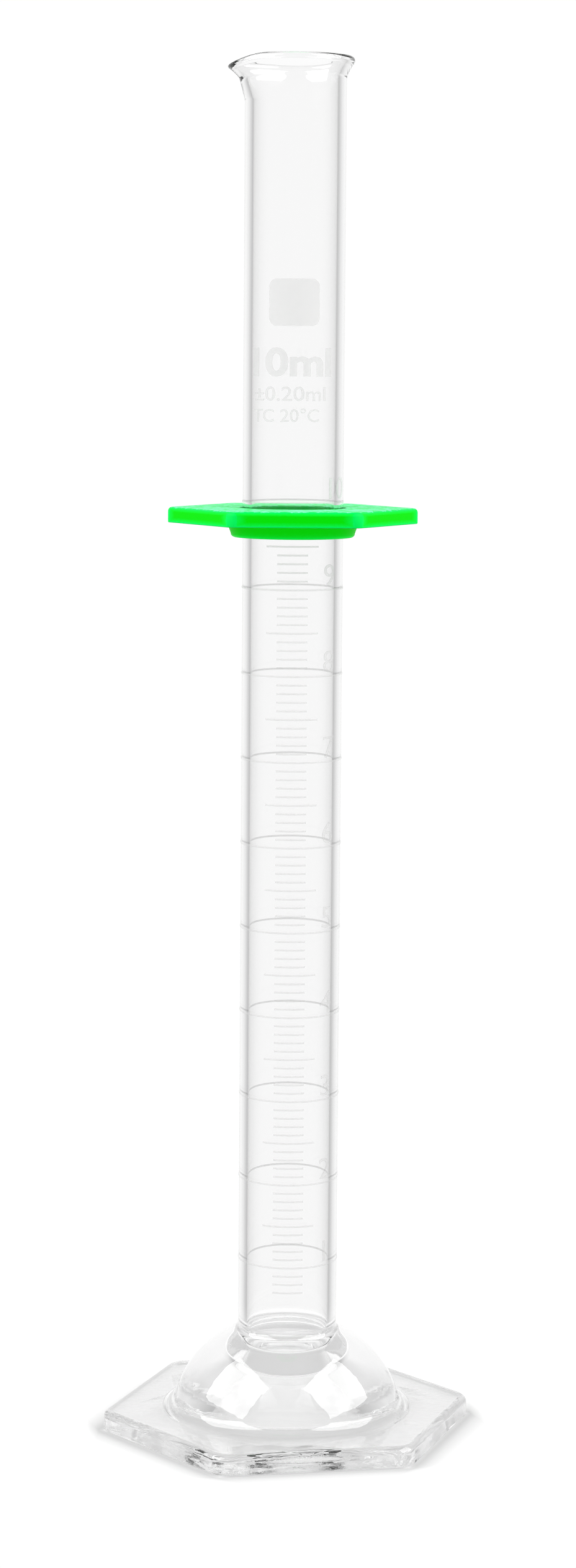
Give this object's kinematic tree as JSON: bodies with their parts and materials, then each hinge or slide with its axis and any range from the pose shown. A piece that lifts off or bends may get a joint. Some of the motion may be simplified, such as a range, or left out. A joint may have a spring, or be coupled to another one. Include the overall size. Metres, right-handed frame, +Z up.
{
  "type": "graduated measuring cylinder",
  "caption": "Slim glass measuring cylinder with a flared pouring lip, fused hexagonal foot, enamel volume scale and a sliding hexagonal plastic guard ring.",
  "frame": {"origin": "centre of the foot's resting plane, on the tube's axis", "axes": "+Z up the tube's axis, -Y towards the reader of the scale, -X towards the pouring spout"},
  "size_m": [0.0486, 0.0464, 0.1783],
  "materials": {
    "clear_glass": "clear, fire-polished",
    "green_plastic": "moulded, fine texture",
    "white_enamel": "fired on, satin"
  },
  "bodies": {
    "cylinder": {"tube": "clear_glass", "foot": "clear_glass", "ring_mark_1ml": "white_enamel", "ring_mark_2ml": "white_enamel", "ring_mark_3ml": "white_enamel", "ring_mark_4ml": "white_enamel", "ring_mark_5ml": "white_enamel", "ring_mark_6ml": "white_enamel", "ring_mark_7ml": "white_enamel", "ring_mark_8ml": "white_enamel", "ring_mark_9ml": "white_enamel", "ring_mark_10ml": "white_enamel", "half_mark_1_5ml": "white_enamel", "half_mark_2_5ml": "white_enamel", "half_mark_3_5ml": "white_enamel", "half_mark_4_5ml": "white_enamel", "half_mark_5_5ml": "white_enamel", "half_mark_6_5ml": "white_enamel", "half_mark_7_5ml": "white_enamel", "half_mark_8_5ml": "white_enamel", "half_mark_9_5ml": "white_enamel"},
    "guard": {"guard_ring": "green_plastic"}
  },
  "joints": [
    {"name": "guard_slide", "type": "slide", "parent": "cylinder", "child": "guard", "axis": [0, 0, 1], "range_m": [-0.104, 0.051]}
  ]
}
